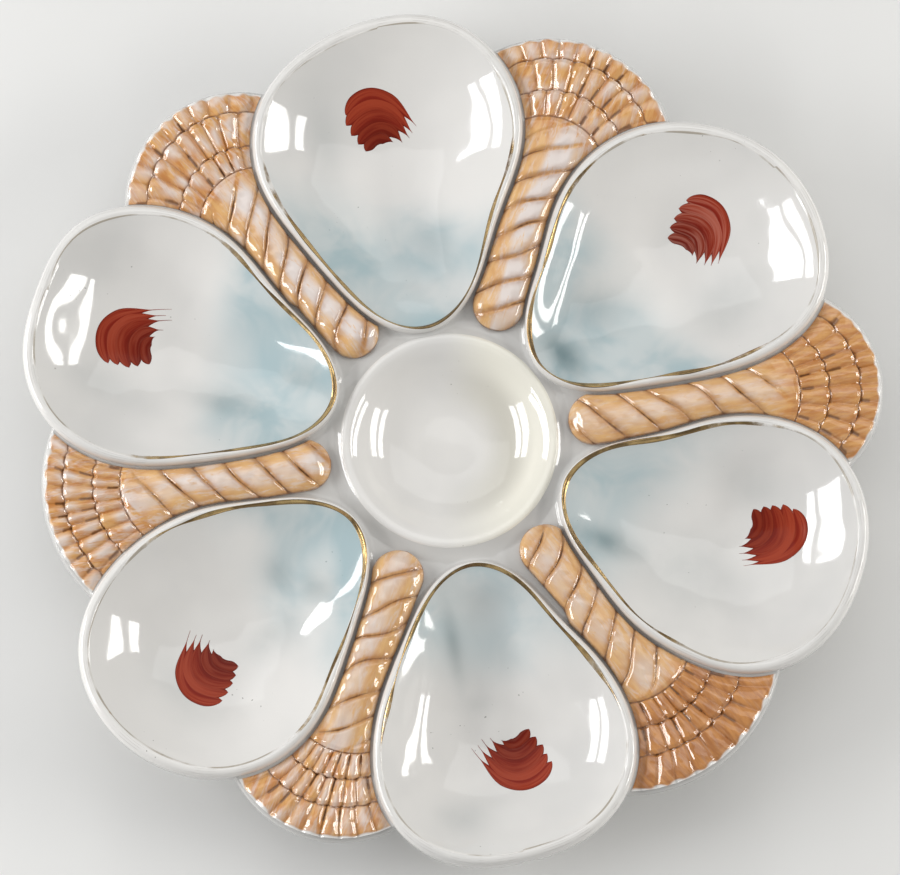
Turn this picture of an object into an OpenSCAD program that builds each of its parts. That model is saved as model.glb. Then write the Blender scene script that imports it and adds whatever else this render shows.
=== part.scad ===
// Oyster plate of glazed porcelain: six pear-shaped wells round a sauce well, moulded shell
// ornaments between them, a foot ring below, gilt rim lines and a painted red mark in each well.
// The origin is the centre of the foot ring on the table plane, +Z is up, +Y is the far side.

/* [Plate] */
// Diameter over the outer ends of the wells
plate_d = 230; // [200:1:270]
// Height of the well rims at their outer ends
plate_h = 25; // [21:0.5:30]
// Height of the ground beside the sauce well
ground_h = 15; // [13:0.5:17.5]
// Thickness of the ground
ground_t = 4; // [3:0.25:5]

/* [Wells] */
// Height of the well floors
floor_h = 8.5; // [7:0.25:10]
// Thickness of the well walls
wall_t = 4; // [3:0.25:5]
// Height of a rim over the ground at a well's inner tip
tip_lip = 4.5; // [3.5:0.25:5.5]
// Height of a rim over the ground at a well's outer end
end_lip = 4; // [3:0.25:5]
// Depth of the rounding on top of a rim
lip_round = 2.4; // [2:0.1:3]
// Width of a rim at a well's outer end
lip_w = 3.6; // [3:0.1:4.2]
// Gap between the sauce well and the tips
tip_gap = 1; // [0.8:0.1:3]

/* [Sauce well] */
// Diameter of the sauce well where it meets the ground
sauce_d = 58; // [48:1:68]
// Height of the sauce well's floor
sauce_floor_h = 8; // [6.5:0.25:9.5]
// Height of the sauce well's rim over the ground
sauce_lip = 2; // [1.5:0.25:3]
// Width of the sauce well's rounded rim
sauce_rim_w = 5; // [4:0.25:6]

/* [Shell ornaments] */
// Gap between the sauce well and the stems
stem_gap = 3; // [2.5:0.25:5]
// Width of a stem at its thick inner end
stem_w = 14; // [11:0.5:17]
// Height of a stem over the ground
stem_h = 4.5; // [3.5:0.25:5.5]
// Radius of a fan's outer edge
fan_r = 32; // [28:0.5:36]
// Height of a fan over the ground
fan_h = 3; // [2.4:0.2:3.6]
// Distance between the twisted grooves along a stem
groove_pitch = 8; // [6:0.25:10]
// Depth of the twisted grooves
groove_d = 0.8; // [0.5:0.1:1.1]
// Depth of the furrows between the ribs of a fan
rib_d = 0.6; // [0.4:0.05:0.8]
// Height of the step at each band of a fan
band_d = 0.7; // [0.5:0.05:0.9]
// Width of the plain edge outside a fan
edge_w = 0.9; // [0.7:0.1:1.4]
// Clearance between an ornament and the wells beside it
relief_gap = 0.3; // [0.2:0.05:0.5]

/* [Foot ring] */
// Diameter of the foot ring through the middle of its tread
foot_d = 120; // [100:1:140]
// Width of the tread
foot_w = 3.4; // [2.8:0.2:4.4]
// Width of the foot ring where it meets the wells
foot_top_w = 5.4; // [4.6:0.2:6.6]
// Clearance of the foot ring under curved faces
foot_gap = 0.3; // [0.25:0.05:0.5]

/* [Decoration] */
// Thickness of the gilt lines
gilt_h = 0.25; // [0.2:0.05:0.35]
// Width of the red marks
mark_w = 18; // [15:0.5:21]
// Length of the red marks along the well
mark_l = 15.5; // [13:0.5:18]
// Thickness of the red marks
mark_t = 0.3; // [0.2:0.05:0.4]
// Clearance under the red marks
mark_gap = 0.2; // [0.15:0.05:0.3]

/* [Hidden] */

PORCELAIN = [0.93, 0.93, 0.92];
LUSTRE = [0.80, 0.56, 0.33];
GOLD = [0.62, 0.47, 0.20];
RED = [0.55, 0.13, 0.08];

// Headings of the wells, and of the ornaments, each before the well of the same number
first_well_angle = 40;
step_angle = 60;
relief_angles = [8.5, 70.3, 131.4, 190, 249.4, 310.8];

// Radius of each well every 30 degrees round its centre, from its outer end towards its left,
// as shares of the length of a well
outline_shares = [
    [0.445, 0.419, 0.412, 0.409, 0.408, 0.438, 0.575, 0.456, 0.412, 0.440, 0.488, 0.468],
    [0.435, 0.439, 0.465, 0.452, 0.426, 0.476, 0.580, 0.421, 0.369, 0.400, 0.433, 0.451],
    [0.449, 0.474, 0.468, 0.428, 0.405, 0.456, 0.559, 0.398, 0.355, 0.381, 0.424, 0.471],
    [0.475, 0.480, 0.473, 0.433, 0.398, 0.438, 0.544, 0.421, 0.381, 0.372, 0.402, 0.452],
    [0.427, 0.439, 0.438, 0.398, 0.376, 0.407, 0.539, 0.426, 0.386, 0.405, 0.452, 0.456],
    [0.433, 0.441, 0.438, 0.405, 0.384, 0.409, 0.556, 0.442, 0.407, 0.400, 0.438, 0.446]];
outline_step_angle = 30;
spline_share = 0.25;
tip_share = 0.5706;

// The rim narrows towards the tip. Its rounding goes inwards from the outline, as shares of its
// width and depth, and the bowl and the underside are shares of the way out from the middle
tip_lip_share = 0.44;
lip_shares = [[0, 1], [0.2, 0.36], [0.46, 0.04], [0.68, 0.03], [1, 0.36]];
bowl_shares = [0.88, 0.74, 0.58, 0.4, 0.2];
bowl_power = 2.1;
under_shares = [0.2, 0.4, 0.56, 0.7, 0.84, 1];
thicker_share = 0.45;
GILT_OUT = 3;
GILT_IN = 4;
SECTORS = 36;

plate_r = plate_d / 2;
sauce_r = sauce_d / 2;
tip_r = sauce_r + tip_gap;
well_len = plate_r - tip_r;
centre_r = tip_r + tip_share * well_len;
tip_z = ground_h + tip_lip;

// The ground is flat round the sauce well, and rises along each arm from arm_start outwards.
// The arms' roots start inside the sauce well's hole
flat_r = tip_r + tip_gap;
arm_start = sauce_r + tip_gap / 2;
arm_slope = (plate_h - end_lip - ground_h) / (plate_r - arm_start);
arm_tilt = atan(arm_slope);
arm_root_w_share = 0.5;
arm_root_share = 0.25;
arm_root = arm_root_share * sauce_r;
fan_root_share = 0.9;
seat_share = 0.125;
seat = seat_share * ground_t;
overrun = ground_h;
ROUND = 96;

// Outer reach of each arm as a share of the plate's radius
reach_shares = [1.012, 0.990, 1.005, 0.952, 0.985, 0.981];

// Radius of each fan as a share of fan_r
fan_r_shares = [0.88, 1.06, 0.97, 1.3, 0.97, 1.3];

// An ornament's rows bend from bend_share of its length onwards, and are arcs from bent_share on
bend_share = 0.50;
bent_share = 0.82;
first_row_share = 0.4;
fan_start_share = 0.7;
row_fill_share = 0.97;
half_bent_share = 0.5;
flare_share = 0.35;
flare_from_share = 0.26;
blunt_share = 0.06;
end_share = 0.11;
end_h_share = 0.5;
edge_share = 0.2;
dome_power = 2.6;
groove_slope_share = 0.8;
groove_flat_share = 0.45;
band_shares = [0.735, 0.822, 0.905];
band_drop_share = 0.5;
RIBS = 9;
ROWS = 38;
COLUMNS = 18;
HALVINGS = 12;

function heading(k) = first_well_angle + step_angle * k;
function toward(a) = [cos(a), sin(a)];
function well_centre(k) = centre_r * toward(heading(k));

// A smooth closed curve through twelve shares
function at(t, i) = t[(i + 2 * len(t)) % len(t)];
function control(t, i) = at(t, i) + spline_share * (2 * at(t, i) - at(t, i - 1) - at(t, i + 1));
function smooth_share(t, a) =
    let (x = (a + 360) / outline_step_angle, i = floor(x), f = x - i)
    (pow(1 - f, 3) * control(t, i - 1)
    + (3 * pow(f, 3) - 6 * f * f + 4) * control(t, i)
    + (1 + 3 * f + 3 * f * f - 3 * pow(f, 3)) * control(t, i + 1)
    + pow(f, 3) * control(t, i + 2)) / 6;
function well_r(k, a) = well_len * smooth_share(outline_shares[k], a % 360);
function well_point(k, a, s) = well_centre(k) + s * well_r(k, a) * toward(heading(k) + a);

// Radius of the bowl inside the rim
function lip_w_at(a) = lip_w * (tip_lip_share + (1 - tip_lip_share) * abs(cos(a / 2)));
function bowl_r(k, a) = well_r(k, a) - lip_w_at(a);
function polar_point(k, a, r) = well_centre(k) + r * toward(heading(k) + a);

// Heights of the rim, the bowl and the underside over a plan point
function rim_z(k, p) = tip_z + (plate_h - tip_z) * (p * toward(heading(k)) - tip_r) / well_len;
function bowl_z(k, p, q) =
    floor_h + (rim_z(k, p) - lip_shares[GILT_IN][1] * lip_round - floor_h) * pow(q, bowl_power);
function seat_z(p) = ground_h - ground_t - seat + arm_slope * (norm(p) - arm_start);
function under_z(k, p, q) = min(seat_z(p), bowl_z(k, p, q) - wall_t * (1 + thicker_share * q));

// Rings of points round a well, each lifted to its height
function lift(p, z) = [p[0], p[1], z];
angles = [for (i = [0:SECTORS - 1]) 360 * i / SECTORS];
function under_ring(k, s) =
    [for (a = angles) let (p = well_point(k, a, s), q = s * well_r(k, a) / bowl_r(k, a))
        lift(p, under_z(k, p, q))];
function lip_ring(k, n) =
    [for (a = angles) let (p = polar_point(k, a, well_r(k, a) - lip_shares[n][0] * lip_w_at(a)))
        lift(p, rim_z(k, p) - lip_shares[n][1] * lip_round)];
function bowl_ring(k, q) =
    [for (a = angles) let (p = polar_point(k, a, q * bowl_r(k, a))) lift(p, bowl_z(k, p, q))];
function outline(k) = [for (i = [0:SECTORS - 1]) well_point(k, 360 * i / SECTORS, 1)];
function flatten(lists) = [for (l = lists) for (v = l) v];

// Edges round a grid of points, in the order of its rim
function grid_rim(rows, columns) =
    let (width = columns + 1)
    concat(
        [for (c = [0:columns - 1]) [c, c + 1]],
        [for (i = [0:rows - 1]) [i * width + columns, (i + 1) * width + columns]],
        [for (c = [columns - 1:-1:0]) [rows * width + c + 1, rows * width + c]],
        [for (i = [rows - 1:-1:0]) [(i + 1) * width, i * width]]);

// Triangles between ring m and ring n of n_points each
function band_faces(m, n, n_points) =
    [for (i = [0:n_points - 1]) let (j = (i + 1) % n_points)
        each [[m * n_points + i, n * n_points + i, n * n_points + j],
            [m * n_points + i, n * n_points + j, m * n_points + j]]];

module oyster_well(k) {
    rings = concat(
        [for (s = under_shares) under_ring(k, s)],
        [for (n = [0:len(lip_shares) - 1]) lip_ring(k, n)],
        [for (q = bowl_shares) bowl_ring(k, q)]);
    last = len(rings) - 1;
    bottom = len(rings) * SECTORS;
    points = concat(flatten(rings),
        [lift(well_centre(k), floor_h - wall_t), lift(well_centre(k), floor_h)]);
    faces = concat(
        [for (i = [0:SECTORS - 1]) [bottom, i, (i + 1) % SECTORS]],
        [for (m = [0:last - 1]) each band_faces(m, m + 1, SECTORS)],
        [for (i = [0:SECTORS - 1]) [bottom + 1, last * SECTORS + (i + 1) % SECTORS, last * SECTORS + i]]);
    color(PORCELAIN) polyhedron(points, faces);
}

module gilt_line(k) {
    outer = lip_ring(k, GILT_OUT);
    inner = lip_ring(k, GILT_IN);
    ridge = [for (i = [0:SECTORS - 1]) (outer[i] + inner[i]) / 2 + [0, 0, gilt_h]];
    faces = concat(band_faces(0, 1, SECTORS), band_faces(1, 2, SECTORS),
        [for (i = [0:SECTORS - 1]) let (j = (i + 1) % SECTORS)
            each [[i, 2 * SECTORS + j, 2 * SECTORS + i], [i, j, 2 * SECTORS + j]]]);
    color(GOLD) polyhedron(concat(outer, ridge, inner), faces);
}

// Where each brush stroke starts on the left and ends on the right, as shares of half the mark
head_shares = [
    [0.62, 0.86, 0.96, 0.88, 0.60],
    [0.55, 0.90, 1.00, 0.84, 0.52],
    [0.58, 0.84, 0.98, 0.94, 0.70],
    [0.66, 0.92, 0.96, 0.80, 0.56],
    [0.60, 0.82, 1.00, 0.90, 0.64],
    [0.52, 0.88, 0.94, 0.92, 0.66]];
tail_shares = [
    [0.70, 0.98, 0.86, 0.96, 0.58],
    [0.66, 0.94, 1.00, 0.82, 0.64],
    [0.76, 0.90, 0.94, 1.00, 0.50],
    [0.62, 1.00, 0.90, 0.86, 0.60],
    [0.72, 0.92, 1.00, 0.88, 0.54],
    [0.68, 0.96, 0.84, 0.98, 0.62]];
notch_share = 0.22;
bow_share = 0.14;
STROKES = 5;
MARK_COLUMNS = 4;

// Place of each mark outwards and to the left of its well's centre, as shares of a well's length
mark_out_shares = [0.125, 0.14, 0.14, 0.125, 0.095, 0.125];
mark_side_shares = [0.01, 0.04, 0.02, 0.06, 0.03, 0.07];

// A mark is a skin over the bowl. Its rows run along the brush strokes and between them
function stroke_end(list, row) =
    row % 2 == 1 ? list[(row - 1) / 2]
    : min(list[max(0, row / 2 - 1)], list[min(STROKES - 1, row / 2)]) - notch_share;
function mark_place(k) = well_len
    * (mark_out_shares[k] * toward(heading(k)) + mark_side_shares[k] * toward(heading(k) + 90));
function mark_point(k, row, c) =
    let (lo = -stroke_end(head_shares[k], row), hi = stroke_end(tail_shares[k], row),
        f = lo + (hi - lo) * c / MARK_COLUMNS,
        y = mark_l * (row / (2 * STROKES) - 0.5 - bow_share * f * f))
    mark_place(k) + f * mark_w / 2 * toward(heading(k) - 90) + y * toward(heading(k));
function mark_skin(k, d, up) =
    let (a = (atan2(d[1], d[0]) - heading(k) + 720) % 360, p = well_centre(k) + d)
    lift(p, bowl_z(k, p, norm(d) / bowl_r(k, a)) + up);

module red_mark(k) {
    rows = 2 * STROKES;
    width = MARK_COLUMNS + 1;
    plan = [for (row = [0:rows]) for (c = [0:MARK_COLUMNS]) mark_point(k, row, c)];
    n = len(plan);
    cells = [for (row = [0:rows - 1]) for (c = [0:MARK_COLUMNS - 1]) row * width + c];
    faces = concat(
        [for (g = cells) each [[n + g, n + g + width, n + g + width + 1],
            [n + g, n + g + width + 1, n + g + 1],
            [g, g + width + 1, g + width],
            [g, g + 1, g + width + 1]]],
        [for (s = grid_rim(rows, MARK_COLUMNS)) each [[n + s[0], n + s[1], s[1]], [n + s[0], s[1], s[0]]]]);
    under = [for (d = plan) mark_skin(k, d, mark_gap)];
    over = [for (d = plan) mark_skin(k, d, mark_gap + mark_t)];
    color(RED) polyhedron(concat(under, over), faces);
}

// The sauce well is turned. Its underside and bowl are shares of the radius and of the height,
// and its rim is shares of the rim's width inwards and of its height upwards
sauce_under_shares = [[0.40, 0], [0.50, 0.06], [0.58, 0.22], [0.66, 0.44], [0.75, 0.72], [0.83, 0.94]];
sauce_rim_shares = [[0, 0.6], [0.04, 0.85], [0.12, 1], [0.3, 0.95], [0.6, 0.72]];
sauce_bowl_shares = [[1, 0.80], [0.9, 0.60], [0.8, 0.42], [0.7, 0.26], [0.6, 0.13], [0.5, 0.05],
    [0.38, 0]];
module sauce_well() {
    top_z = ground_h + sauce_lip;
    low_z = sauce_floor_h - wall_t;
    seat_low = ground_h - ground_t - seat;
    bowl_edge = sauce_r - sauce_rim_w;
    color(PORCELAIN) rotate_extrude($fn = ROUND) polygon(concat(
        [[0, low_z]],
        [for (s = sauce_under_shares) [s[0] * sauce_r, low_z + s[1] * (seat_low - low_z)]],
        [[sauce_r, seat_low]],
        [for (s = sauce_rim_shares) [sauce_r - s[0] * sauce_rim_w, ground_h + s[1] * sauce_lip]],
        [for (s = sauce_bowl_shares) [s[0] * bowl_edge, sauce_floor_h + s[1] * (top_z - sauce_floor_h)]],
        [[0, sauce_floor_h]]));
}

// One arm of the ground in its own frame: x across, y outwards from arm_start, top face at zero
function arm_reach(j) = reach_shares[j] * plate_r;
function fan_radius(j) = fan_r_shares[j] * fan_r;
function arm_y(v) = (v - arm_start) / cos(arm_tilt);
module on_arm(j) {
    rotate(relief_angles[j] - 90) translate([0, arm_start, ground_h]) rotate([arm_tilt, 0, 0]) children();
}

module ground_web() {
    color(PORCELAIN) difference() {
        union() {
            translate([0, 0, ground_h - ground_t]) cylinder(h = ground_t, r = flat_r, $fn = ROUND);
            for (j = [0:5]) on_arm(j) translate([0, 0, -ground_t]) linear_extrude(ground_t) {
                polygon([
                    [-arm_root_w_share * arm_start, -arm_root], [arm_root_w_share * arm_start, -arm_root],
                    [fan_root_share * fan_radius(j), arm_y(arm_reach(j) - fan_radius(j))],
                    [-fan_root_share * fan_radius(j), arm_y(arm_reach(j) - fan_radius(j))]]);
                translate([0, arm_y(arm_reach(j)) - fan_radius(j)])
                    circle(r = fan_radius(j), $fn = ROUND);
            }
        }
        for (k = [0:5]) translate([0, 0, -overrun])
            linear_extrude(plate_h + 2 * overrun) polygon(outline(k));
        translate([0, 0, -overrun]) cylinder(h = plate_h + 2 * overrun, r = sauce_r, $fn = ROUND);
    }
}

// Outline of an ornament: rows across the stem that bend into arcs across the fan
relief_start = sauce_r + stem_gap;
function relief_end(j) = arm_reach(j) - edge_w;
function along(j, t) = relief_start + t * (relief_end(j) - relief_start);
function ramp(x) = let (c = min(1, max(0, x))) c * c * (3 - 2 * c);
function row_r(j, t) =
    let (first = first_row_share * fan_r, s = max(0, t - fan_start_share) / (1 - fan_start_share))
    first + s * (fan_radius(j) - edge_w - first);
function row_bend(t) = ramp((t - bend_share) / (bent_share - bend_share));
function row_drop(j, t, x) =
    let (r = row_r(j, t), c = min(abs(x), r)) row_bend(t) * (r - sqrt(r * r - c * c));
function blunt(x) = let (c = min(1, max(blunt_share, x))) sqrt(1 - (1 - c) * (1 - c));
function free_half_w(j, t) =
    let (v = along(j, t) - relief_start)
    stem_w / 2 * blunt(2 * v / stem_w) + flare_share * max(0, v - flare_from_share * well_len);
function most_half_w(j, t) =
    row_bend(t) > 0
    ? min(free_half_w(j, t), row_fill_share * row_r(j, t) / max(row_bend(t), half_bent_share))
    : free_half_w(j, t);
function plan_point(j, x, v) =
    v * toward(relief_angles[j]) - x * toward(relief_angles[j] + 90);
function is_outside(k, p) =
    let (d = p - well_centre(k), a = atan2(d[1], d[0]) - heading(k))
    norm(d) > well_r(k, (a + 720) % 360) + relief_gap;
function is_clear(j, t, x) =
    let (p = plan_point(j, x, along(j, t) - row_drop(j, t, x)))
    is_outside(j, p) && is_outside((j + 5) % 6, p);
function widest(j, t, side, lo, hi, n) =
    n == 0 ? lo
    : let (m = (lo + hi) / 2)
        is_clear(j, t, side * m) ? widest(j, t, side, m, hi, n - 1) : widest(j, t, side, lo, m, n - 1);

// Height of an ornament over its plane, t along it and f from its left side to its right side
function dome(f) = edge_share + (1 - edge_share) * sqrt(max(0, 1 - pow(abs(f), dome_power)));
function groove(j, t, x) =
    let (turn = (along(j, t) - relief_start - groove_slope_share * x) / groove_pitch,
        c = abs(2 * (turn - floor(turn)) - 1))
    groove_d * ramp((c - groove_flat_share) / (1 - groove_flat_share));
function rib(f) = let (n = round((f + 1) * RIBS)) n % 2 == 0 ? rib_d : 0;
function bands_passed(t) = [for (b = band_shares) if (t > b) 1];
function relief_z(j, t, f, x) =
    let (fan = row_bend(t), h = stem_h + (fan_h - stem_h) * fan,
        ends = end_h_share + (1 - end_h_share) * ramp(t / end_share))
    max(h * dome(f) * ends - (1 - fan) * groove(j, t, x) * dome(f)
        - fan * rib(f) - fan * band_d * band_drop_share * (len(bands_passed(t)) % 2), edge_share * fan_h);

module shell_relief(j) {
    width = COLUMNS + 1;
    tops = [for (i = [0:ROWS]) let (t = i / ROWS, hi = most_half_w(j, t),
            left = widest(j, t, -1, 0, hi, HALVINGS), right = widest(j, t, 1, 0, hi, HALVINGS))
        for (c = [0:COLUMNS]) let (f = 2 * c / COLUMNS - 1, x = (right - left + f * (right + left)) / 2)
            [x, arm_y(along(j, t) - row_drop(j, t, x)), relief_z(j, t, f, x)]];
    feet = [for (p = tops) [p[0], p[1], 0]];
    n = len(tops);
    grid = [for (i = [0:ROWS - 1]) for (c = [0:COLUMNS - 1]) i * width + c];
    middle = COLUMNS / 2;
    last = n + (ROWS - 1) * width;
    under = concat(
        [for (i = [1:ROWS - 2]) let (a = n + i * width, b = a + width)
            each [[a, a + middle, b + middle], [a, b + middle, b],
                [a + middle, a + COLUMNS, b + COLUMNS], [a + middle, b + COLUMNS, b + middle]]],
        [for (c = [0:COLUMNS - 1]) each [[n + c, n + c + 1, n + width + middle],
            [last + middle, last + width + c + 1, last + width + c]]],
        [[n, n + width + middle, n + width], [n + COLUMNS, n + width + COLUMNS, n + width + middle],
            [last, last + middle, last + width], [last + middle, last + COLUMNS, last + width + COLUMNS]]);
    faces = concat(under,
        [for (g = grid) each [[g, g + width, g + width + 1], [g, g + width + 1, g + 1]]],
        [for (s = grid_rim(ROWS, COLUMNS)) each [[s[0], s[1], n + s[1]], [s[0], n + s[1], n + s[0]]]]);
    color(LUSTRE) on_arm(j) polyhedron(concat(tops, feet), faces);
}

// The foot ring reaches up to the undersides of the wells and of the ground between them
foot_r = foot_d / 2;
foot_base_h = (floor_h - wall_t) / 2;
FOOT_SECTORS = 120;
function arm_under_z(p) =
    let (out = max([for (a = relief_angles) p * toward(a)]))
    ground_h - ground_t / cos(arm_tilt) + arm_slope * (out - arm_start);
function well_under_z(k, p) =
    let (d = p - well_centre(k), a = (atan2(d[1], d[0]) - heading(k) + 720) % 360)
    norm(d) < well_r(k, a) + foot_gap ? under_z(k, p, norm(d) / bowl_r(k, a)) : plate_h;
function foot_top(p) = min(arm_under_z(p), min([for (k = [0:5]) well_under_z(k, p)])) - foot_gap;
module foot_ring() {
    side = foot_top_w / 2;
    rise_r = (foot_top_w - foot_w) / 2;
    headings = [for (i = [0:FOOT_SECTORS - 1]) 360 * i / FOOT_SECTORS];
    radii = [foot_r - side + foot_gap, foot_r + side - foot_gap];
    low = [for (r = radii) [for (a = headings) lift(r * toward(a), foot_base_h / 2)]];
    high = [for (r = radii) [for (a = headings)
        lift(r * toward(a), min([for (q = radii) foot_top(q * toward(a))]))]];
    color(PORCELAIN) {
        rotate_extrude($fn = FOOT_SECTORS) polygon([
            [foot_r - foot_w / 2, 0], [foot_r + foot_w / 2, 0],
            [foot_r + side, rise_r], [foot_r + side, foot_base_h],
            [foot_r - side, foot_base_h], [foot_r - side, rise_r]]);
        polyhedron(concat(low[0], low[1], high[1], high[0]),
            concat(band_faces(0, 1, FOOT_SECTORS), band_faces(1, 2, FOOT_SECTORS),
                band_faces(2, 3, FOOT_SECTORS), band_faces(3, 0, FOOT_SECTORS)));
    }
}

ground_web();
sauce_well();
foot_ring();
oyster_well(0);  // oyster_well_1
oyster_well(1);  // oyster_well_2
oyster_well(2);  // oyster_well_3
oyster_well(3);  // oyster_well_4
oyster_well(4);  // oyster_well_5
oyster_well(5);  // oyster_well_6
shell_relief(0);  // shell_relief_1
shell_relief(1);  // shell_relief_2
shell_relief(2);  // shell_relief_3
shell_relief(3);  // shell_relief_4
shell_relief(4);  // shell_relief_5
shell_relief(5);  // shell_relief_6
gilt_line(0);  // gilt_line_1
gilt_line(1);  // gilt_line_2
gilt_line(2);  // gilt_line_3
gilt_line(3);  // gilt_line_4
gilt_line(4);  // gilt_line_5
gilt_line(5);  // gilt_line_6
red_mark(0);  // red_mark_1
red_mark(1);  // red_mark_2
red_mark(2);  // red_mark_3
red_mark(3);  // red_mark_4
red_mark(4);  // red_mark_5
red_mark(5);  // red_mark_6
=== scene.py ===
import math

import bpy
import numpy as np
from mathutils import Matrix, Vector


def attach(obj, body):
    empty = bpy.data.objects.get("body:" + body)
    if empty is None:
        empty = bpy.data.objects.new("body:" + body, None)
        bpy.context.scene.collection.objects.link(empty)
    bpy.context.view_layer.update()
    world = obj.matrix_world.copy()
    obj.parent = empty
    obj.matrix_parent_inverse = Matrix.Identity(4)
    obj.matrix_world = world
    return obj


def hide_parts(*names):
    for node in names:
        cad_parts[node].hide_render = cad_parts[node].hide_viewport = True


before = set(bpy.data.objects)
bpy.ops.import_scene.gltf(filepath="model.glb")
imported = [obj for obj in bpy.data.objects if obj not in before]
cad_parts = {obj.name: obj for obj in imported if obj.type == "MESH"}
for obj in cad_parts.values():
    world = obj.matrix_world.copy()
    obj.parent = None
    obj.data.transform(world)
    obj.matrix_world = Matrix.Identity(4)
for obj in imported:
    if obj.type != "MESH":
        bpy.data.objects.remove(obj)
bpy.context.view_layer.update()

# Lengths below are millimetres, as in the part's source, and become metres when a mesh is made.
MM = 0.001

# The plate
PLATE_D = 230.0
PLATE_H = 25.0
GROUND_H = 15.0
GROUND_T = 4.0
FLOOR_H = 8.5
WALL_T = 4.0
TIP_LIP = 4.5
END_LIP = 4.0
LIP_ROUND = 2.4
LIP_W = 3.6
TIP_GAP = 1.0
SAUCE_D = 58.0
SAUCE_FLOOR_H = 8.0
SAUCE_LIP = 2.0
STEM_GAP = 3.0
STEM_W = 14.0
STEM_H = 4.5
FAN_R = 32.0
FAN_H = 3.0
GROOVE_PITCH = 8.0
EDGE_W = 0.9
FOOT_D = 120.0
FOOT_W = 3.4
FOOT_TOP_W = 5.4
MARK_W = 18.0
MARK_L = 15.5

FIRST_WELL_ANGLE = 40.0
STEP_ANGLE = 60.0
RELIEF_ANGLES = (8.5, 70.3, 131.4, 190.0, 249.4, 310.8)
REACH_SHARES = (1.012, 0.990, 1.005, 0.952, 0.985, 0.981)
FAN_R_SHARES = (0.88, 1.06, 0.97, 1.3, 0.97, 1.3)
OUTLINE_SHARES = (
    (0.445, 0.419, 0.412, 0.409, 0.408, 0.438, 0.575, 0.456, 0.412, 0.440, 0.488, 0.468),
    (0.435, 0.439, 0.465, 0.452, 0.426, 0.476, 0.580, 0.421, 0.369, 0.400, 0.433, 0.451),
    (0.449, 0.474, 0.468, 0.428, 0.405, 0.456, 0.559, 0.398, 0.355, 0.381, 0.424, 0.471),
    (0.475, 0.480, 0.473, 0.433, 0.398, 0.438, 0.544, 0.421, 0.381, 0.372, 0.402, 0.452),
    (0.427, 0.439, 0.438, 0.398, 0.376, 0.407, 0.539, 0.426, 0.386, 0.405, 0.452, 0.456),
    (0.433, 0.441, 0.438, 0.405, 0.384, 0.409, 0.556, 0.442, 0.407, 0.400, 0.438, 0.446),
)
OUTLINE_STEP_ANGLE = 30.0
SPLINE_SHARE = 0.25
TIP_SHARE = 0.5706
TIP_LIP_SHARE = 0.44
BOWL_POWER = 2.1
THICKER_SHARE = 0.45
CREST_SHARE = 0.57
INNER_DROP_SHARE = 0.36

PLATE_R = PLATE_D / 2
SAUCE_R = SAUCE_D / 2
TIP_R = SAUCE_R + TIP_GAP
WELL_LEN = PLATE_R - TIP_R
CENTRE_R = TIP_R + TIP_SHARE * WELL_LEN
TIP_Z = GROUND_H + TIP_LIP
ARM_START = SAUCE_R + TIP_GAP / 2
ARM_SLOPE = (PLATE_H - END_LIP - GROUND_H) / (PLATE_R - ARM_START)
SEAT = GROUND_T / 8

WELLS = range(6)


# Small tools

def ramp(x, start=0.0, width=1.0):
    """0 up to start, easing up to 1 over the width."""
    c = np.clip((x - start) / width, 0.0, 1.0)
    return c * c * (3 - 2 * c)


def fading(x, start):
    """1 up to start, easing down to 0 at 1."""
    return 1 - ramp(x, start, 1 - start)


def bump_at(x, middle, width):
    return np.exp(-((x - middle) / width) ** 2)


def heading(k):
    return FIRST_WELL_ANGLE + STEP_ANGLE * k


def toward(degrees):
    a = np.radians(degrees)
    return np.stack([np.cos(a), np.sin(a)], axis=-1)


def round_angles(count):
    return np.arange(count) * 2 * math.pi / count


def well_centre(k):
    return CENTRE_R * toward(heading(k))


def stack_xyz(x, y, z):
    return np.stack(np.broadcast_arrays(x, y, z), axis=-1)


def waves(x, y, seed, length, count=6):
    """A smooth field of about unit height with bumps of the given length, always the same for a seed."""
    rng = np.random.default_rng(seed)
    total = np.zeros(np.broadcast(x, y).shape)
    for _ in range(count):
        a, phase, stretch = rng.uniform(0, 2 * math.pi), rng.uniform(0, 2 * math.pi), rng.uniform(0.75, 1.35)
        k = 2 * math.pi / (length * stretch)
        total = total + np.sin(k * (x * math.cos(a) + y * math.sin(a)) + phase)
    return total / math.sqrt(count / 2)


# Mesh building

def grid_faces(rows, columns, wrap_columns=False, wrap_rows=False):
    i = np.arange(rows if wrap_rows else rows - 1)
    j = np.arange(columns if wrap_columns else columns - 1)
    a = i[:, None] * columns + j[None, :]
    b = i[:, None] * columns + (j[None, :] + 1) % columns
    up = ((i[:, None] + 1) % rows) * columns
    c = up + (j[None, :] + 1) % columns
    d = up + j[None, :]
    return np.stack([a, b, c, d], axis=-1).reshape(-1, 4)


def sheet_faces(rows, columns):
    """Faces of a closed sheet: an upper grid of points, then a lower one, joined round their edge."""
    count = rows * columns
    top = grid_faces(rows, columns)
    edge = (list(range(columns)) + [(i + 1) * columns - 1 for i in range(1, rows)]
            + [(rows - 1) * columns + c for c in range(columns - 2, -1, -1)]
            + [i * columns for i in range(rows - 2, 0, -1)])
    sides = [[b, a, a + count, b + count] for a, b in zip(edge, edge[1:] + edge[:1])]
    return top.tolist() + (top[:, ::-1] + count).tolist() + sides


def sheet_points(top, low):
    return np.concatenate([top.reshape(-1, 3), low.reshape(-1, 3)])


def add_object(name, data):
    added = bpy.data.objects.new(name, data)
    bpy.context.scene.collection.objects.link(added)
    return added


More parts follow.
